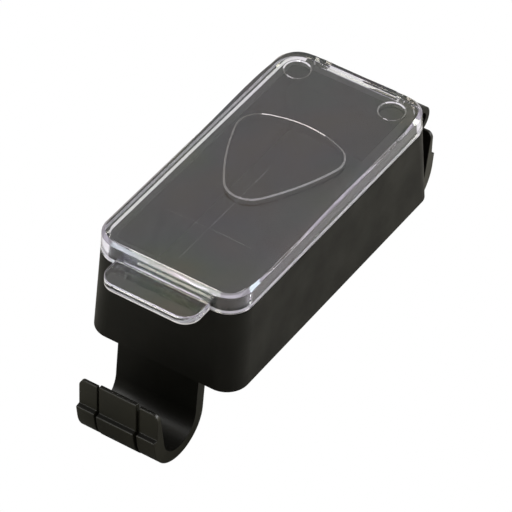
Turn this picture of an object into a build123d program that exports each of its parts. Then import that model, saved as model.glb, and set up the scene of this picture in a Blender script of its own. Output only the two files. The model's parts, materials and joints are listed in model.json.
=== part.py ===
from build123d import *
from math import acos, atan2, cos, degrees, hypot, radians, sin, tan
import os

os.makedirs("parts", exist_ok=True)

# Pick holder: a deep black tray with a clear snap-down lid, hinged behind the back wall,
# and a spring hook at each end that clips over a tube. Millimetres, +Z up, the lid's pull
# tab at -Y. The origin is on the ground plane, under the middle of the tray.

# Driving dimensions
LID_WIDTH = 42.0
LID_LENGTH = 87.5
LID_HEIGHT = 6.2
LID_CORNER = 6.8
LID_EDGE = 0.85
SKIRT_EDGE = 0.35
PANEL = 1.8
SKIRT = 2.0
SEAM_GAP = 0.1
BODY_HEIGHT = 23.6
FRONT_FOOT_CORNER = 6.1
REAR_FOOT_CORNER = 4.4
DRAFT = 1.5
END_DRAFT = 1.85
WALL = 2.6
FLOOR = 2.0
CLEAR = 0.35

# Rim that stands up inside the lid's skirt
RIM_THICKNESS = 1.9
RIM_ROOT = 2.5
RIM_HEIGHT = 3.5

# Hooks
HOOK_WIDTH = 23.5
HOOK_NARROWING = 0.45
HOOK_LENGTH = 19.0
HOOK_BORE = 6.55
HOOK_THICKNESS = 2.95
HOOK_SET = 7.35
HOOK_DROP = 9.05
REAR_SHIFT = 1.2
REAR_LIFT = 0.8
LUG_RADIUS = 10.4
LUG_PROUD = 0.3
LUG_CORNER = 2.0
LUG_EDGE = 0.3
LIP_LEAN = 9.5
LIP_FACE = 16.75
LIP_RISE = 1.8
MIDDLE_RISE = 2.4
LEDGE_DROP = 6.2
LEDGE_REACH = 1.4
LEDGE_FALL = 0.15
GROOVE_AT = 5.75
GROOVE_WIDTH = 0.85
GROOVE_DEPTH = 0.85
GROOVE_FOOT = 16.2
NOTCH_DROP = 1.9

# Hinge behind the back wall
AXIS_BACK = 2.55
AXIS_DROP = 2.8
ROD_RADIUS = 1.95
ROD_REACH = 14.6
CLIP_BORE = 2.04
CLIP_OUTER = 3.7
CLIP_INNER_X = 12.2
CLIP_OUTER_X = 16.8
CLIP_MOUTH_FROM = 232
CLIP_MOUTH_TO = 288
LEAF_HALF = 10.8
LEAF_RADIUS = 2.15
NOTCH_WIDTH = 2.0
NOTCH_DEPTH = 0.9

# Pull tab and snap bead
TAB_WIDTH = 26.6
TAB_REACH = 8.1
TAB_THICKNESS = 2.3
TAB_CORNER = 4.3
TAB_EDGE = 0.4
TAB_FILLET = 0.5
BEAD_RADIUS = 0.25
BEAD_WIDTH = 22.0

# Marks on the lid: raised pick shape, shallow round dimples, and faint lines under the panel
EMBLEM_RISE = 0.2
EMBLEM_SLOPE = 0.5
EMBLEM_FALL = 0.19
PICK_SIDE_X = 49.9
PICK_SIDE_Y = 28.6
PICK_SIDE_RADIUS = 67.65
PICK_CROWN_Y = -9.4
PICK_CROWN_RADIUS = 28.6
PICK_TIP_RADIUS = 6.8
PICK_SHOULDER_RADIUS = 6.5
DIMPLE_RADIUS = 3.25
DIMPLE_DEPTH = 0.16
DIMPLE_SLOPE = 0.4
DIMPLE_FALL = 0.15
DIMPLE_X = 13.9
DIMPLE_Y = 35.9
STREAK_WIDTH = 0.9
STREAK_RISE = 0.03
STREAK_FRONT = -38.0
STREAK_BACK = 1.0
CROSS_Y = -25.2
CROSS_WIDTH = 25.0
CROSS_LINE = 0.3

# Worked-out heights and sizes
hook_outer = HOOK_BORE + HOOK_THICKNESS
body_base = hook_outer + HOOK_DROP
seam = body_base + BODY_HEIGHT
lid_base = seam + SEAM_GAP
lid_top = seam + LID_HEIGHT
slope = tan(radians(DRAFT))
end_slope = tan(radians(END_DRAFT))


def outline(inset, z):
    """Width, length and front and rear corner radii of the outer form at height z, inset all round."""
    grow = (lid_top - z) * slope
    end_grow = grow + max(0.0, seam - z) * end_slope
    blend = (lid_top - z) / (lid_top - body_base)
    front_corner = LID_CORNER + (FRONT_FOOT_CORNER - LID_CORNER) * blend
    rear_corner = LID_CORNER + (REAR_FOOT_CORNER - LID_CORNER) * blend
    width = LID_WIDTH + 2 * grow - 2 * inset
    length = LID_LENGTH + 2 * end_grow - 2 * inset
    return width, length, front_corner - inset, rear_corner - inset


def section(inset, z, mode=Mode.ADD):
    """The outer form's section at height z, drawn in the active sketch."""
    width, length, front_corner, rear_corner = outline(inset, z)
    with BuildSketch() as shape:
        Rectangle(width, length)
        fillet(shape.vertices().group_by(Axis.Y)[0], front_corner)
        fillet(shape.vertices().group_by(Axis.Y)[-1], rear_corner)
    add(shape.sketch, mode=mode)


foot_half = outline(0, body_base)[1] / 2
seam_half = outline(0, seam)[1] / 2
axis_y = seam_half + AXIS_BACK
axis_z = seam - AXIS_DROP


def outer_form():
    """The tray's outside as a full drafted block."""
    with BuildPart() as block:
        with BuildSketch(Plane.XY.offset(body_base)):
            section(0, body_base)
        with BuildSketch(Plane.XY.offset(seam)):
            section(0, seam)
        loft()
    return block.part


def make_tray_shell():
    floor_top = body_base + FLOOR
    with BuildPart() as tray:
        add(outer_form())
        with BuildSketch(Plane.XY.offset(floor_top)):
            section(WALL, floor_top)
        with BuildSketch(Plane.XY.offset(seam)):
            section(WALL, seam)
        loft(mode=Mode.SUBTRACT)
        # Rim ring inside the skirt's place
        with BuildSketch(Plane.XY.offset(seam - RIM_ROOT)):
            section(SKIRT + CLEAR, seam)
            section(SKIRT + CLEAR + RIM_THICKNESS, seam, mode=Mode.SUBTRACT)
        extrude(amount=RIM_ROOT + RIM_HEIGHT)
        cut_snap_groove()
    return tray.part


def cut_snap_groove():
    """Room for the lid's bead in the front of the rim, open upwards."""
    front = -(seam_half - SKIRT - CLEAR)
    with BuildSketch(Plane.XY.offset(seam)) as groove:
        with Locations((0, front)):
            Rectangle(BEAD_WIDTH + 2, 2 * (BEAD_RADIUS + CLEAR / 2))
    extrude(groove.sketch, amount=RIM_HEIGHT + 1, mode=Mode.SUBTRACT)


def hook_shift(end):
    """How much further out the rear hook stands than the front one."""
    return REAR_SHIFT if end > 0 else 0.0


def hook_plane(end):
    """Local x points out of the end wall, local y is up; end is -1 for front, 1 for rear."""
    out = foot_half + hook_shift(end)
    return Plane(origin=(0, end * out, 0), x_dir=(0, end, 0), z_dir=(end, 0, 0))


def lip_lift(end):
    """How much higher the rear hook's lip and ledge stand than the front one's."""
    return REAR_LIFT if end > 0 else 0.0


def narrow_hook(end):
    """Trims the active hook part so that it gets slightly narrower towards the lug."""
    start = -HOOK_THICKNESS - 1
    finish = HOOK_LENGTH + 2
    wide = HOOK_WIDTH / 2 - HOOK_NARROWING * start / HOOK_LENGTH
    narrow = HOOK_WIDTH / 2 - HOOK_NARROWING * finish / HOOK_LENGTH
    near = end * (foot_half + hook_shift(end) + start)
    far = end * (foot_half + hook_shift(end) + finish)
    with BuildSketch(Plane.XY.offset(-1)) as plan:
        with BuildLine() as edge:
            Polyline((-wide, near), (wide, near), (narrow, far), (-narrow, far), close=True)
        make_face(edge.edges())
    extrude(plan.sketch, amount=body_base + MIDDLE_RISE + 3, mode=Mode.INTERSECT)


def make_hook_strap(end):
    """The strap under the end wall and the inner quarter of the U."""
    centre = (HOOK_SET, hook_outer)
    foot = -hook_shift(end)
    foot_angle = degrees(atan2(HOOK_DROP, foot - HOOK_SET))
    start = foot_angle + degrees(acos(HOOK_BORE / hypot(HOOK_DROP, foot - HOOK_SET)))
    a = radians(start)
    inner = (centre[0] + HOOK_BORE * cos(a), centre[1] + HOOK_BORE * sin(a))
    outer = (centre[0] + hook_outer * cos(a), centre[1] + hook_outer * sin(a))
    back = HOOK_THICKNESS / cos(a - radians(180))
    with BuildPart() as strap:
        with BuildSketch(hook_plane(end)):
            with BuildLine():
                Line((foot, body_base), inner)
                CenterArc(centre, HOOK_BORE, start, 270 - start)
                Line((HOOK_SET, HOOK_THICKNESS), (HOOK_SET, 0))
                CenterArc(centre, hook_outer, start, 270 - start)
                Line(outer, (foot - back, body_base))
                Line((foot - back, body_base), (foot, body_base))
            make_face()
        extrude(amount=HOOK_WIDTH, both=True)
        narrow_hook(end)
    return strap.part


def arm_profile(proud, rise, lift):
    """The outer half of the U, its wedge-shaped lug and the lip above the ledge."""
    centre = (HOOK_SET, hook_outer)
    radius = LUG_RADIUS + proud
    lug_centre = (HOOK_SET, radius)
    lean = radians(LIP_LEAN)
    lip_top = body_base + rise + lift
    lip_foot = (HOOK_SET + HOOK_BORE * cos(lean), hook_outer - HOOK_BORE * sin(lean))
    lip_inside = lip_foot[0] + (lip_top - lip_foot[1]) * tan(lean)
    face = LIP_FACE + proud
    ledge_z = body_base - LEDGE_DROP + lift
    tip = (face + LEDGE_REACH, ledge_z - LEDGE_FALL)
    tip_angle = atan2(tip[1] - radius, tip[0] - HOOK_SET)
    tip_distance = hypot(tip[1] - radius, tip[0] - HOOK_SET)
    touch = tip_angle - acos(radius / tip_distance)
    touch_point = (lug_centre[0] + radius * cos(touch), lug_centre[1] + radius * sin(touch))
    with BuildLine() as edge:
        CenterArc(centre, HOOK_BORE, 270, 90 - LIP_LEAN)
        Line(lip_foot, (lip_inside, lip_top))
        Line((lip_inside, lip_top), (face, lip_top))
        Line((face, lip_top), (face, ledge_z))
        Line((face, ledge_z), tip)
        Line(tip, touch_point)
        CenterArc(lug_centre, radius, 270, degrees(touch) + 90)
        Line((HOOK_SET, 0), (HOOK_SET, HOOK_THICKNESS))
    make_face(edge.edges())
    fillet(vertices().group_by(Axis.Y)[-1], LUG_EDGE)
    fillet(vertices().sort_by(Axis.X)[-1], LUG_EDGE)


def groove_profile(lift):
    """A cut along the lug's face that runs right through the last of the lip."""
    floor = LIP_FACE - GROOVE_DEPTH
    notch = body_base + LIP_RISE - NOTCH_DROP + lift
    above = body_base + MIDDLE_RISE + lift + 1
    foot = body_base - GROOVE_FOOT
    with BuildLine() as edge:
        Polyline(
            (HOOK_SET + 6.4, foot),
            (floor + 0.2, body_base - LEDGE_DROP + lift - 2.8),
            (floor, notch),
            (HOOK_SET + HOOK_BORE, notch),
            (HOOK_SET + HOOK_BORE, above),
            (HOOK_LENGTH + 3, above),
            (HOOK_LENGTH + 3, foot),
            close=True,
        )
    make_face(edge.edges())


def round_lip_corners(lift):
    """Rounds the lip's two outer top corners, seen from the front."""
    half = HOOK_WIDTH / 2 - HOOK_NARROWING * LIP_FACE / HOOK_LENGTH
    lip_top = body_base + LIP_RISE + lift
    with BuildSketch(Plane.XZ) as corners:
        for side in (-1, 1):
            with Locations((side * half, lip_top)):
                Rectangle(2 * LUG_CORNER, 2 * LUG_CORNER)
            with Locations((side * (half - LUG_CORNER), lip_top - LUG_CORNER)):
                Circle(LUG_CORNER, mode=Mode.SUBTRACT)
    extrude(corners.sketch, amount=2 * foot_half, both=True, mode=Mode.SUBTRACT)


def make_latch_arm(end):
    lift = lip_lift(end)
    groove_planes = [hook_plane(end).offset(side * GROOVE_AT) for side in (-1, 1)]
    with BuildPart() as arm:
        with BuildSketch(hook_plane(end)):
            arm_profile(0, LIP_RISE, lift)
        extrude(amount=HOOK_WIDTH / 2, both=True)
        narrow_hook(end)
        round_lip_corners(lift)
        with BuildSketch(hook_plane(end)):
            arm_profile(LUG_PROUD, MIDDLE_RISE, lift)
        extrude(amount=GROOVE_AT, both=True)
        for plane in groove_planes:
            with BuildSketch(plane):
                groove_profile(lift)
            extrude(amount=GROOVE_WIDTH / 2, both=True, mode=Mode.SUBTRACT)
    return arm.part


def make_hinge_clip(side):
    """A hook-shaped knuckle on the back wall, open towards the bottom."""
    start = side * CLIP_INNER_X
    reach = side * (CLIP_OUTER_X - CLIP_INNER_X)
    wall_plane = Plane(origin=(start, axis_y, axis_z), x_dir=(0, 1, 0), z_dir=(1, 0, 0))
    with BuildPart() as clip:
        with BuildSketch(wall_plane):
            Circle(CLIP_OUTER)
            Circle(CLIP_BORE, mode=Mode.SUBTRACT)
            with BuildLine():
                Line((0, 0), (6 * cos(radians(CLIP_MOUTH_FROM)), 6 * sin(radians(CLIP_MOUTH_FROM))))
                CenterArc((0, 0), 6, CLIP_MOUTH_FROM, CLIP_MOUTH_TO - CLIP_MOUTH_FROM)
                Line((6 * cos(radians(CLIP_MOUTH_TO)), 6 * sin(radians(CLIP_MOUTH_TO))), (0, 0))
            make_face(mode=Mode.SUBTRACT)
        extrude(amount=reach)
        add(outer_form(), mode=Mode.SUBTRACT)
    return clip.part


def lid_shell():
    """Top panel and skirt, hollow from below."""
    under = lid_top - PANEL
    with BuildSketch(Plane.XY.offset(lid_base)) as foot:
        section(SKIRT_EDGE, lid_base)
    with BuildSketch(Plane.XY.offset(lid_base + SKIRT_EDGE)) as above_foot:
        section(0, lid_base + SKIRT_EDGE)
    with BuildSketch(Plane.XY.offset(lid_top)) as top:
        section(0, lid_top)
    loft([foot.sketch, above_foot.sketch])
    loft([above_foot.sketch, top.sketch])
    chamfer(faces().sort_by(Axis.Z)[-1].edges(), LID_EDGE)
    with BuildSketch(Plane.XY.offset(lid_base)) as mouth:
        section(SKIRT, lid_base)
    with BuildSketch(Plane.XY.offset(under)) as ceiling:
        section(SKIRT, under)
    loft([mouth.sketch, ceiling.sketch], mode=Mode.SUBTRACT)


def make_pull_tab():
    front = -outline(0, lid_base)[1] / 2
    with BuildPart() as tab:
        with BuildSketch(Plane.XY.offset(lid_base)):
            with Locations((0, front - TAB_REACH / 2 + SKIRT / 4)):
                Rectangle(TAB_WIDTH, TAB_REACH + SKIRT / 2)
            fillet(vertices().group_by(Axis.Y)[0], TAB_CORNER)
        extrude(amount=TAB_THICKNESS)
        rim = tab.faces().sort_by(Axis.Z)[-1].edges().sort_by(Axis.Y)[:-1]
        fillet(rim, TAB_EDGE)
        # Soft root where the tab meets the skirt
        root = Plane(origin=(0, front, lid_base + TAB_THICKNESS), x_dir=(0, 1, 0), z_dir=(1, 0, 0))
        with BuildSketch(root):
            with BuildLine():
                Line((0.3, -0.3), (0.3, TAB_FILLET))
                Line((0.3, TAB_FILLET), (0, TAB_FILLET))
                CenterArc((-TAB_FILLET, TAB_FILLET), TAB_FILLET, 0, -90)
                Line((-TAB_FILLET, 0), (-TAB_FILLET, -0.3))
                Line((-TAB_FILLET, -0.3), (0.3, -0.3))
            make_face()
        extrude(amount=BEAD_WIDTH / 2, both=True)
    return tab.part


def make_snap_bead():
    """A half-round bead along the inside of the front skirt, near its lower edge."""
    inside = -(outline(0, lid_base)[1] / 2 - SKIRT)
    with BuildPart() as bead:
        with BuildSketch(Plane(origin=(0, inside - 0.1, lid_base + 1.2), x_dir=(0, 1, 0), z_dir=(1, 0, 0))):
            Circle(BEAD_RADIUS)
        extrude(amount=BEAD_WIDTH / 2, both=True)
    return bead.part


def make_hinge_leaf():
    """The arm from the back skirt round the rod, and the rod that snaps into the clips."""
    across = Plane(origin=(0, axis_y, axis_z), x_dir=(0, 1, 0), z_dir=(1, 0, 0))
    skirt_face = -AXIS_BACK - 0.6
    lower = AXIS_DROP + 2 * SEAM_GAP
    with BuildPart() as leaf:
        with BuildSketch(across):
            Circle(LEAF_RADIUS)
            with BuildLine():
                Line((skirt_face, lower), (-1.75, lower))
                Line((-1.75, lower), (-1.75, 0))
                Line((-1.75, 0), (LEAF_RADIUS, 0))
                Line((LEAF_RADIUS, 0), (LEAF_RADIUS, 0.6))
                ThreePointArc((LEAF_RADIUS, 0.6), (0.7, 3.9), (skirt_face, 5.4))
                Line((skirt_face, 5.4), (skirt_face, lower))
            make_face()
        extrude(amount=LEAF_HALF, both=True)
        with BuildSketch(across):
            Circle(ROD_RADIUS)
        extrude(amount=ROD_REACH, both=True)
    return leaf.part


def raise_pick():
    """A plain guitar pick, where three discs overlap, standing up from the panel with sloping sides."""
    with BuildSketch(Plane.XY.offset(lid_top - 0.05)) as shape:
        with Locations((-PICK_SIDE_X, PICK_SIDE_Y)):
            Circle(PICK_SIDE_RADIUS)
        with Locations((PICK_SIDE_X, PICK_SIDE_Y)):
            Circle(PICK_SIDE_RADIUS, mode=Mode.INTERSECT)
        with Locations((0, PICK_CROWN_Y)):
            Circle(PICK_CROWN_RADIUS, mode=Mode.INTERSECT)
        fillet(shape.vertices().group_by(Axis.Y)[0], PICK_TIP_RADIUS)
        fillet(shape.vertices().group_by(Axis.Y)[-1], PICK_SHOULDER_RADIUS)
    extrude(shape.sketch, amount=EMBLEM_RISE + 0.05)
    top = faces().sort_by(Axis.Z)[-1]
    chamfer(top.edges(), EMBLEM_SLOPE, EMBLEM_FALL, reference=top)


def sink_dimples():
    """Two shallow round marks in the panel near the hinge, with sloping sides."""
    with BuildSketch(Plane.XY.offset(lid_top)) as discs:
        with Locations((-DIMPLE_X, DIMPLE_Y), (DIMPLE_X, DIMPLE_Y)):
            Circle(DIMPLE_RADIUS)
    extrude(discs.sketch, amount=-DIMPLE_DEPTH, mode=Mode.SUBTRACT)
    panel = faces().sort_by(Axis.Z)[-1]
    rims = panel.edges().filter_by(GeomType.CIRCLE).filter_by(lambda e: abs(e.radius - DIMPLE_RADIUS) < 0.01)
    chamfer(rims, DIMPLE_SLOPE, DIMPLE_FALL, reference=panel)


def panel_marks():
    """Fine raised lines on the underside of the panel."""
    under = lid_top - PANEL
    with BuildSketch(Plane.XY.offset(under - STREAK_RISE)) as lines:
        with Locations((0, (STREAK_FRONT + STREAK_BACK) / 2)):
            Rectangle(STREAK_WIDTH, STREAK_BACK - STREAK_FRONT)
        with Locations((0, CROSS_Y)):
            Rectangle(CROSS_WIDTH, CROSS_LINE)
    extrude(lines.sketch, amount=STREAK_RISE + 0.2)


def make_lid():
    back = outline(0, lid_base)[1] / 2
    notch_x = LEAF_HALF + NOTCH_WIDTH / 2 + 0.2
    with BuildPart() as lid:
        lid_shell()
        with BuildSketch(Plane.XY.offset(lid_base - 1)):
            with Locations((-notch_x, back), (notch_x, back)):
                Rectangle(NOTCH_WIDTH, 2 * NOTCH_DEPTH)
        extrude(amount=LID_HEIGHT + 2, mode=Mode.SUBTRACT)
        panel_marks()
        sink_dimples()
        raise_pick()
        add(make_pull_tab())
        add(make_snap_bead())
        add(make_hinge_leaf())
    return lid.part


def save(piece, name):
    piece.label = name
    export_step(piece, f"parts/{name}.step")


save(make_tray_shell(), "tray_shell")
save(make_hook_strap(-1), "front_hook_strap")
save(make_hook_strap(1), "rear_hook_strap")
save(make_latch_arm(-1), "front_latch_arm")
save(make_latch_arm(1), "rear_latch_arm")
save(make_hinge_clip(-1), "left_hinge_clip")
save(make_hinge_clip(1), "right_hinge_clip")
save(make_lid(), "lid")
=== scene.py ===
import bpy
import json
from math import cos, radians, sin
from mathutils import Matrix, Vector


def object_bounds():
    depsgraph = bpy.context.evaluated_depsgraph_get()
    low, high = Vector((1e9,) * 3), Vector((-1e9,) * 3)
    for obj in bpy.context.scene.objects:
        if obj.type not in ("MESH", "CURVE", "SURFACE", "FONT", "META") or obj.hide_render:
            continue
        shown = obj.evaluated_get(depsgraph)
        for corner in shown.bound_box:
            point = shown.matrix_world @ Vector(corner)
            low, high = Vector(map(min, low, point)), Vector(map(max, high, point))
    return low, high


# Pick holder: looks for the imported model. Lengths are in metres and angles in degrees.

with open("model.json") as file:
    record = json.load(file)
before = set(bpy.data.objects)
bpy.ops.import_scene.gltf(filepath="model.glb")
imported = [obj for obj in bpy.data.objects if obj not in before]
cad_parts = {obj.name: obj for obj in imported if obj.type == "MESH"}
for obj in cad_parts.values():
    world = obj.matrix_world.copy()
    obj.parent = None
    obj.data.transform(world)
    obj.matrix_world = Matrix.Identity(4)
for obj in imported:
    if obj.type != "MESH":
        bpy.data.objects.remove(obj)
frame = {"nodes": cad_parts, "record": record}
cad_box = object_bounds()

MM = 0.001

# Camera: a long lens from the front right, above. The aim point is measured from the
# middle of the footprint, and the distance along the line of sight.
CAMERA_AZIMUTH = 31.77
CAMERA_ELEVATION = 42.71
CAMERA_ROLL = 2.32
CAMERA_DISTANCE = 903.5 * MM
CAMERA_LENS = 261.7
CAMERA_FAR_END = 20
CAMERA_AIM = Vector((6.4, -12.9, 32.45)) * MM

# Floor and world: seen white, greyer through clear plastic, and dimmer as light on the
# object. The floor lights it least from a patch in front of the holder.
BACKDROP = (1.0, 1.0, 1.0, 1)
BACKDROP_THROUGH = (0.92, 0.88, 0.97, 1)
FLOOR_SIZE = 6.0
FLOOR_DROP = 0.05 * MM
FLOOR_TONE = (0.48, 0.475, 0.447, 1)
FLOOR_SHADE = (0.1, 0.099, 0.094, 1)
SHADE_CENTRE = (13 * MM, -66 * MM, 0)
SHADE_INNER = 22 * MM
SHADE_OUTER = 66 * MM
SKY_LOW = (0.1, 0.1, 0.088, 1)
SKY_HIGH = (0.77, 0.74, 0.64, 1)
SKY_SPREAD = (0.1, 0.55)

# Softboxes: azimuth, elevation, width, and power in watts
SOFTBOX_DISTANCE = 0.9
SOFTBOXES = {
    "key": (-30, 40, 0.5, 4),
    "back": (205, 4, 0.2, 0.55),
    "side": (133, 23, 0.4, 6),
}
CLEAR_BOUNCES = 24
GLOSSY_BOUNCES = 16

# Noises: scale per metre, detail and roughness. A spread is the part of a noise that is
# stretched over a material's range.
CLOUDS = (90.0, 5.0, 0.5)
CLOUD_TONE_SPREAD = (0.35, 0.65)
CLOUD_SHINE_SPREAD = (0.3, 0.7)
SPARK = (2600.0, 3.0, 0.6)
BLACK_SWELL = (35.0, 2.0, 0.5)
TINT = (38.0, 1.5, 0.5)
TINT_SPREAD = (0.4, 0.6)
WEAR = (240.0, 6.0, 0.7)
WEAR_SPREAD = (0.52, 0.8)
FILM = (30.0, 2.0, 0.5)
FILM_SPREAD = (0.3, 0.7)
CLEAR_SWELL = (22.0, 1.0, 0.5)

# Black plastic
TRAY_FINISH = {
    "dark": (0.0032, 0.0031, 0.0024, 1),
    "light": (0.005, 0.0048, 0.0038, 1),
    "smoothest": 0.42,
    "roughest": 0.56,
    "grain": 0.35,
    "shine": 0.24,
}
# Hooks: lighter than the tray, partly their own warmer tone and partly painted light, for the light their
# outer faces catch.
HOOK_FINISH_AND_PAINTED_LIGHT = {
    "dark": (0.0095, 0.0091, 0.0058, 1),
    "light": (0.0155, 0.015, 0.01, 1),
    "smoothest": 0.34,
    "roughest": 0.46,
    "grain": 0.25,
    "shine": 0.52,
}
SPARK_HEIGHT = 0.03 * MM
BLACK_SWELL_HEIGHT = 0.06 * MM
BLACK_SWELL_STRENGTH = 0.2

# Hooks: level faces, and faces that have the tube's centre line well in front of them, are
# darker and duller; the darker colour is painted shade, for the shade on the hooks' ledges
# and in their hollows. Edges are rounded, but not near the lowest line, where the arm meets
# the strap.
# Painted shade: the colour of a hook's level and inward faces.
HOOK_PAINTED_SHADE = (0.003, 0.0029, 0.0022, 1)
TUBE_CENTRES = [Vector(mount["pos_m"]) for mount in frame["record"]["mounts"]]
TUBE_FROM_MIDDLE = sum(abs(centre.y) for centre in TUBE_CENTRES) / len(TUBE_CENTRES)
TUBE_HEIGHT = TUBE_CENTRES[0].z
TUBE_IN_FRONT = (1.5 * MM, 4.5 * MM)
LEDGE_LEVELS = (0.5, 0.8)
EDGE_ROUND = 0.4 * MM
EDGE_SAMPLES = 8
ROUND_HEIGHTS = (3.5 * MM, 5.5 * MM)

# Clear plastic: haze on its bevels and along the foot of the skirt, a painted highlight
# for the light the edges pipe out. Levels run from 0 on a wall to 1 on a flat top.
LILAC_TINT = (0.965, 0.955, 0.962, 1)
GREEN_TINT = (0.95, 0.972, 0.925, 1)
# Painted highlight: a lilac haze on the bevels, for the bright band the lid's edges show.
BEVEL_HIGHLIGHT_HAZE = 0.4
BEVEL_HIGHLIGHT_TINT = (0.6, 0.565, 0.68, 1)
WALL_LEVELS = (0.25, 0.5)
FLAT_LEVELS = (0.91, 0.95)
# Painted highlight: a pale haze along the foot of the skirt, for its bright lower line.
FOOT_HIGHLIGHT_HAZE = 0.85
FOOT_HIGHLIGHT_TINT = (0.92, 0.9, 0.95, 1)
FOOT_FLAT_LEVELS = (0.8, 0.95)
FOOT_HEIGHTS = (42.6 * MM, 42.75 * MM)
HINGE_SIDE = (42.2 * MM, 43.2 * MM)
WEAR_ROUGHNESS = 0.06
CLEAR_SWELL_HEIGHT = 0.02 * MM
CLEAR_SWELL_STRENGTH = 0.15
CLEAR_IOR = 1.57
FILM_IOR = 1.53
FILM_THINNEST = 260.0
FILM_THICKEST = 420.0


# Node helpers

def new_material(name):
    material = bpy.data.materials.new(name)
    material.use_nodes = True
    return material, material.node_tree.nodes, material.node_tree.links


def feed(links, value, socket):
    """Links a socket's output to another socket, or sets a plain number or colour on it."""
    if isinstance(value, bpy.types.NodeSocket):
        links.new(value, socket)
    else:
        socket.default_value = value


def coordinates(nodes, kind):
    return nodes.new("ShaderNodeTexCoord").outputs[kind]


def components(nodes, links, vector):
    split = nodes.new("ShaderNodeSeparateXYZ")
    links.new(vector, split.inputs["Vector"])
    return split.outputs


def noise(nodes, links, place, kind):
    scale, detail, roughness = kind
    texture = nodes.new("ShaderNodeTexNoise")
    texture.inputs["Scale"].default_value = scale
    texture.inputs["Detail"].default_value = detail
    texture.inputs["Roughness"].default_value = roughness
    links.new(place, texture.inputs["Vector"])
    return texture.outputs["Fac"]


def calculate(nodes, links, operation, *values):
    node = nodes.new("ShaderNodeMath")
    node.operation = operation
    for value, socket in zip(values, node.inputs):
        feed(links, value, socket)
    return node.outputs["Value"]


def ramp(nodes, links, value, low, high, start=0.0, end=1.0):
    """Goes from low to high while the value goes from start to end, and stays there."""
    mapping = nodes.new("ShaderNodeMapRange")
    mapping.inputs["From Min"].default_value = start
    mapping.inputs["From Max"].default_value = end
    mapping.inputs["To Min"].default_value = low
    mapping.inputs["To Max"].default_value = high
    links.new(value, mapping.inputs["Value"])
    return mapping.outputs["Result"]


def blend(nodes, links, factor, first, second, kind="RGBA"):
    """Goes from first to second; each is a socket or a plain colour."""
    mix = nodes.new("ShaderNodeMix")
    mix.data_type = kind
    links.new(factor, mix.inputs["Factor"])
    feed(links, first, mix.inputs["A"])
    feed(links, second, mix.inputs["B"])
    return mix.outputs["Result"]


def mix_shaders(nodes, links, factor, first, second, output):
    mix = nodes.new("ShaderNodeMixShader")
    links.new(factor, mix.inputs["Fac"])
    links.new(first, mix.inputs[1])
    links.new(second, mix.inputs[2])
    links.new(mix.outputs["Shader"], nodes[output].inputs["Surface"])


def bump(nodes, links, height, strength, distance, after=None):
    node = nodes.new("ShaderNodeBump")
    node.inputs["Strength"].default_value = strength
    node.inputs["Distance"].default_value = distance
    links.new(height, node.inputs["Height"])
    if after is not None:
        links.new(after, node.inputs["Normal"])
    return node.outputs["Normal"]


# Black plastic

def painted_shade_faces(nodes, links, place):
    """Where painted shade goes: 1 on a hook's level faces and those that look towards the tube, 0 on its
    outside and ends.
    """
    spot = components(nodes, links, place)
    facing = components(nodes, links, coordinates(nodes, "Normal"))
    outward = calculate(nodes, links, "MULTIPLY", facing["Y"], calculate(nodes, links, "SIGN", spot["Y"]))
    from_middle = calculate(nodes, links, "ABSOLUTE", spot["Y"])
    short_of_tube = calculate(nodes, links, "SUBTRACT", TUBE_FROM_MIDDLE, from_middle)
    below_tube = calculate(nodes, links, "SUBTRACT", TUBE_HEIGHT, spot["Z"])
    sideways = calculate(nodes, links, "MULTIPLY", outward, short_of_tube)
    in_front = calculate(nodes, links, "MULTIPLY_ADD", facing["Z"], below_tube, sideways)
    to_tube = ramp(nodes, links, in_front, 0, 1, *TUBE_IN_FRONT)
    upward = ramp(nodes, links, facing["Z"], 0, 1, *LEDGE_LEVELS)
    return calculate(nodes, links, "MAXIMUM", to_tube, upward)


def rounded_normal(nodes, links, place):
    """The normal with rounded edges, which fade out towards the hook's lowest line."""
    height = components(nodes, links, place)["Z"]
    rounded = nodes.new("ShaderNodeBevel")
    rounded.samples = EDGE_SAMPLES
    rounded.inputs["Radius"].default_value = EDGE_ROUND
    plain = nodes.new("ShaderNodeNewGeometry").outputs["Normal"]
    above = ramp(nodes, links, height, 0, 1, *ROUND_HEIGHTS)
    return blend(nodes, links, above, plain, rounded.outputs["Normal"], "VECTOR")


def black_plastic(name, finish, hook=False, soft_edges=False):
    """Moulded black plastic: fine spark texture, faint flow marks and uneven shine."""
    material, nodes, links = new_material(name)
    shader = nodes["Principled BSDF"]
    place = coordinates(nodes, "Object")
    clouds = noise(nodes, links, place, CLOUDS)
    lighter = ramp(nodes, links, clouds, 0, 1, *CLOUD_TONE_SPREAD)
    tone = blend(nodes, links, lighter, finish["dark"], finish["light"])
    shader.inputs["Specular IOR Level"].default_value = finish["shine"]
    if hook:
        painted_shade_and_dull = painted_shade_faces(nodes, links, place)
        # Painted shade: a darker colour on the hook's level and inward faces, which are also duller.
        tone = blend(nodes, links, painted_shade_and_dull, tone, HOOK_PAINTED_SHADE)
        shine = ramp(nodes, links, painted_shade_and_dull, finish["shine"], TRAY_FINISH["shine"])
        links.new(shine, shader.inputs["Specular IOR Level"])
    links.new(tone, shader.inputs["Base Color"])
    rough = ramp(nodes, links, clouds, finish["roughest"], finish["smoothest"], *CLOUD_SHINE_SPREAD)
    links.new(rough, shader.inputs["Roughness"])
    edges = rounded_normal(nodes, links, place) if soft_edges else None
    spark = noise(nodes, links, place, SPARK)
    grained = bump(nodes, links, spark, finish["grain"], SPARK_HEIGHT, edges)
    swell = noise(nodes, links, place, BLACK_SWELL)
    wavy = bump(nodes, links, swell, BLACK_SWELL_STRENGTH, BLACK_SWELL_HEIGHT, grained)
    links.new(wavy, shader.inputs["Normal"])
    return material


# Clear plastic

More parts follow.
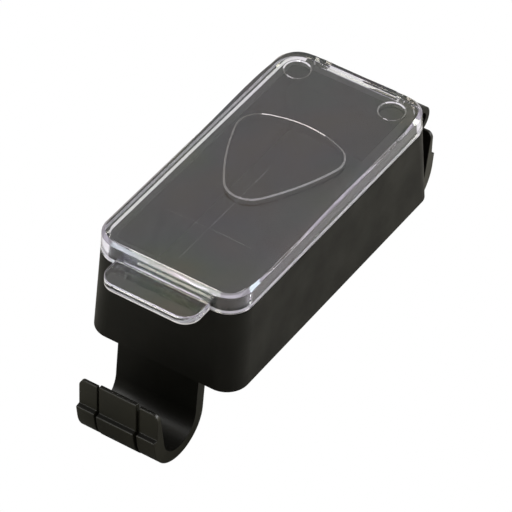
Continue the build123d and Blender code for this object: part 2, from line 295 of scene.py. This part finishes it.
def painted_bevel_highlight(nodes, links, level):
    """Where the painted highlight goes: 1 on bevelled edges, 0 on flat faces and on walls."""
    not_flat = ramp(nodes, links, level, 1, 0, *FLAT_LEVELS)
    not_wall = ramp(nodes, links, level, 0, 1, *WALL_LEVELS)
    return calculate(nodes, links, "MULTIPLY", not_flat, not_wall)


def painted_foot_highlight(nodes, links, place, level):
    """Where the painted highlight goes: 1 along the skirt's lowest line, 0 above it, on flat faces and at
    the hinge.
    """
    spot = components(nodes, links, place)
    low = ramp(nodes, links, spot["Z"], 1, 0, *FOOT_HEIGHTS)
    before_hinge = ramp(nodes, links, spot["Y"], 1, 0, *HINGE_SIDE)
    not_flat = ramp(nodes, links, level, 1, 0, *FOOT_FLAT_LEVELS)
    line = calculate(nodes, links, "MULTIPLY", low, before_hinge)
    return calculate(nodes, links, "MULTIPLY", line, not_flat)


def clear_plastic(name):
    """Clear styrene: a faint play of colour and wear on the flat faces, and haze on the edges as a painted
    highlight.
    """
    material, nodes, links = new_material(name)
    shader = nodes["Principled BSDF"]
    place = coordinates(nodes, "Object")
    facing = components(nodes, links, coordinates(nodes, "Normal"))
    level = calculate(nodes, links, "ABSOLUTE", facing["Z"])
    bevel = painted_bevel_highlight(nodes, links, level)
    foot = painted_foot_highlight(nodes, links, place, level)
    greener = ramp(nodes, links, noise(nodes, links, place, TINT), 0, 1, *TINT_SPREAD)
    tint = blend(nodes, links, greener, LILAC_TINT, GREEN_TINT)
    # Painted highlights: the hazy bevels and skirt foot get their own tints.
    tint = blend(nodes, links, bevel, tint, BEVEL_HIGHLIGHT_TINT)
    tint = blend(nodes, links, foot, tint, FOOT_HIGHLIGHT_TINT)
    links.new(tint, shader.inputs["Base Color"])
    clear_bevel = ramp(nodes, links, bevel, 1, 1 - BEVEL_HIGHLIGHT_HAZE)
    clear_foot = ramp(nodes, links, foot, 1, 1 - FOOT_HIGHLIGHT_HAZE)
    clear = calculate(nodes, links, "MULTIPLY", clear_bevel, clear_foot)
    links.new(clear, shader.inputs["Transmission Weight"])
    wear = noise(nodes, links, place, WEAR)
    links.new(ramp(nodes, links, wear, 0, WEAR_ROUGHNESS, *WEAR_SPREAD), shader.inputs["Roughness"])
    swell = noise(nodes, links, place, CLEAR_SWELL)
    wavy = bump(nodes, links, swell, CLEAR_SWELL_STRENGTH, CLEAR_SWELL_HEIGHT)
    links.new(wavy, shader.inputs["Normal"])
    film = noise(nodes, links, place, FILM)
    thickness = ramp(nodes, links, film, FILM_THINNEST, FILM_THICKEST, *FILM_SPREAD)
    links.new(thickness, shader.inputs["Thin Film Thickness"])
    shader.inputs["Thin Film IOR"].default_value = FILM_IOR
    shader.inputs["IOR"].default_value = CLEAR_IOR
    return material


def dress(material, *node_names):
    """Gives CAD nodes a material in every slot."""
    for name in node_names:
        slots = frame["nodes"][name].data.materials
        slots.clear()
        slots.append(material)


def apply_materials():
    tray = black_plastic("tray_black", TRAY_FINISH)
    straps = black_plastic("strap_black", HOOK_FINISH_AND_PAINTED_LIGHT, hook=True)
    arms = black_plastic("arm_black", HOOK_FINISH_AND_PAINTED_LIGHT, hook=True, soft_edges=True)
    dress(tray, "tray_shell", "left_hinge_clip", "right_hinge_clip")
    dress(straps, "front_hook_strap", "rear_hook_strap")
    dress(arms, "front_latch_arm", "rear_latch_arm")
    dress(clear_plastic("clear_styrene"), "lid")


# Stage, light and camera

def seen_directly(nodes, links):
    """1 for rays from the camera or through clear plastic, 0 for light that lights the object; and
    the colour that is seen, which is greyer through the plastic."""
    path = nodes.new("ShaderNodeLightPath").outputs
    from_camera = path["Is Camera Ray"]
    seen = calculate(nodes, links, "MAXIMUM", from_camera, path["Is Transmission Ray"])
    return seen, blend(nodes, links, from_camera, BACKDROP_THROUGH, BACKDROP)


def dress_floor(mesh):
    material, nodes, links = new_material("pale_floor")
    nodes.remove(nodes["Principled BSDF"])
    seen, colour = seen_directly(nodes, links)
    away = nodes.new("ShaderNodeVectorMath")
    away.operation = "DISTANCE"
    away.inputs[1].default_value = SHADE_CENTRE
    links.new(coordinates(nodes, "Object"), away.inputs[0])
    lighter = ramp(nodes, links, away.outputs["Value"], 0, 1, SHADE_INNER, SHADE_OUTER)
    lit = nodes.new("ShaderNodeBsdfDiffuse")
    links.new(blend(nodes, links, lighter, FLOOR_SHADE, FLOOR_TONE), lit.inputs["Color"])
    glow = nodes.new("ShaderNodeEmission")
    links.new(colour, glow.inputs["Color"])
    mix_shaders(nodes, links, seen, lit.outputs["BSDF"], glow.outputs["Emission"], "Material Output")
    mesh.materials.append(material)


def make_floor():
    half = FLOOR_SIZE / 2
    mesh = bpy.data.meshes.new("floor")
    corners = [(-half, -half, 0), (half, -half, 0), (half, half, 0), (-half, half, 0)]
    mesh.from_pydata(corners, [], [(0, 1, 2, 3)])
    floor = bpy.data.objects.new("floor", mesh)
    floor.location = (0, 0, cad_box[0].z - FLOOR_DROP)
    bpy.context.scene.collection.objects.link(floor)
    dress_floor(mesh)


def make_world():
    """White where it is seen; for lighting, dim at the horizon and bright overhead."""
    world = bpy.data.worlds.new("studio")
    bpy.context.scene.world = world
    world.use_nodes = True
    nodes, links = world.node_tree.nodes, world.node_tree.links
    direction = components(nodes, links, coordinates(nodes, "Generated"))
    higher = ramp(nodes, links, direction["Z"], 0, 1, *SKY_SPREAD)
    seen, colour = seen_directly(nodes, links)
    dim = nodes.new("ShaderNodeBackground")
    links.new(blend(nodes, links, higher, SKY_LOW, SKY_HIGH), dim.inputs["Color"])
    white = nodes.new("ShaderNodeBackground")
    links.new(colour, white.inputs["Color"])
    mix_shaders(nodes, links, seen, dim.outputs["Background"], white.outputs["Background"], "World Output")


def direction_from_object(azimuth, elevation):
    """A unit vector. Azimuth 0 is in front of the object, at -Y."""
    a, e = radians(azimuth), radians(elevation)
    return Vector((sin(a) * cos(e), -cos(a) * cos(e), sin(e)))


def add_softbox(name, azimuth, elevation, width, power):
    """A square area light that faces the object."""
    away = direction_from_object(azimuth, elevation)
    light = bpy.data.lights.new(name, "AREA")
    light.shape = "SQUARE"
    light.size = width
    light.energy = power
    softbox = bpy.data.objects.new(name, light)
    softbox.location = CAMERA_AIM + away * SOFTBOX_DISTANCE
    softbox.rotation_euler = away.to_track_quat("Z", "Y").to_euler()
    bpy.context.scene.collection.objects.link(softbox)


def make_camera():
    a, r = radians(CAMERA_AZIMUTH), radians(CAMERA_ROLL)
    right = Vector((cos(a), sin(a), 0))
    back = direction_from_object(CAMERA_AZIMUTH, CAMERA_ELEVATION)
    up = back.cross(right)
    turned_right = right * cos(r) + up * sin(r)
    turned_up = up * cos(r) - right * sin(r)
    camera = bpy.data.cameras.new("camera")
    camera.lens = CAMERA_LENS
    camera.clip_end = CAMERA_FAR_END
    holder = bpy.data.objects.new("camera", camera)
    axes = Matrix((turned_right, turned_up, back)).transposed().to_4x4()
    holder.matrix_world = Matrix.Translation(CAMERA_AIM + back * CAMERA_DISTANCE) @ axes
    bpy.context.scene.collection.objects.link(holder)
    bpy.context.scene.camera = holder


def set_stage():
    make_floor()
    make_world()
    for name, values in SOFTBOXES.items():
        add_softbox(name, *values)
    make_camera()
    scene = bpy.context.scene
    scene.view_settings.view_transform = "Standard"
    scene.cycles.max_bounces = CLEAR_BOUNCES
    scene.cycles.transmission_bounces = CLEAR_BOUNCES
    scene.cycles.glossy_bounces = GLOSSY_BOUNCES


apply_materials()
set_stage()
